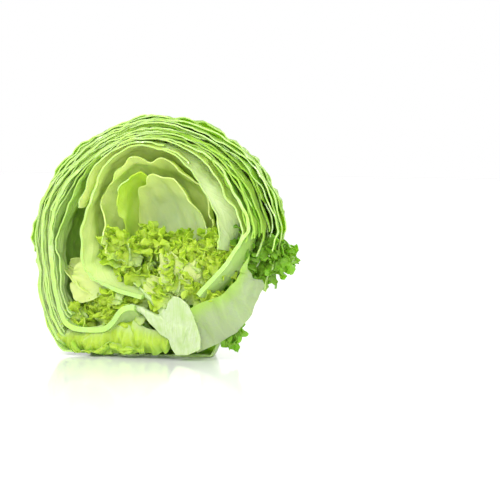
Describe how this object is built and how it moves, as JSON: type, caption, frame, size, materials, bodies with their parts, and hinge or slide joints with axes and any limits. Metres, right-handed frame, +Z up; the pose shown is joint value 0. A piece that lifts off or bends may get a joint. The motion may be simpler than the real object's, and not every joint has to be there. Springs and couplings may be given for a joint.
{
  "type": "halved iceberg lettuce",
  "caption": "Half of a crisp green lettuce head, cut through its core, with a ruffled yellow heart and nested pale green leaves.",
  "frame": {"origin": "On the surface that the half rests on, under the weight of the head, at the flat spot on the underside of its outermost leaf", "axes": "+Z up, -Y out of the cut face, +X to the right as one looks at the cut face"},
  "size_m": [0.1571, 0.0773, 0.1446],
  "materials": {
    "outer_leaf": "glossy waxy green leaf with paler veins",
    "inner_leaf": "wet pale yellow-green leaf with white ribs",
    "heart_leaf": "ruffled bright yellow young leaf",
    "core": "moist cream-white cut stem"
  },
  "bodies": {
    "root": {"core": "core", "cup_leaf_1": "inner_leaf", "cup_leaf_2": "inner_leaf", "cup_leaf_3": "inner_leaf", "cup_leaf_4": "inner_leaf", "flap_behind": "outer_leaf", "flap_front": "outer_leaf", "head_leaf_1": "outer_leaf", "head_leaf_2": "outer_leaf", "head_leaf_3": "outer_leaf", "head_leaf_4": "outer_leaf", "head_leaf_5": "inner_leaf", "head_leaf_6": "outer_leaf", "heart": "heart_leaf", "pocket_leaf": "inner_leaf", "torn_leaf": "outer_leaf", "tuft_left": "heart_leaf", "tuft_pocket": "heart_leaf", "tuft_right": "heart_leaf", "wrapper_leaf_back": "outer_leaf", "wrapper_leaf_left": "outer_leaf"}
  },
  "joints": []
}
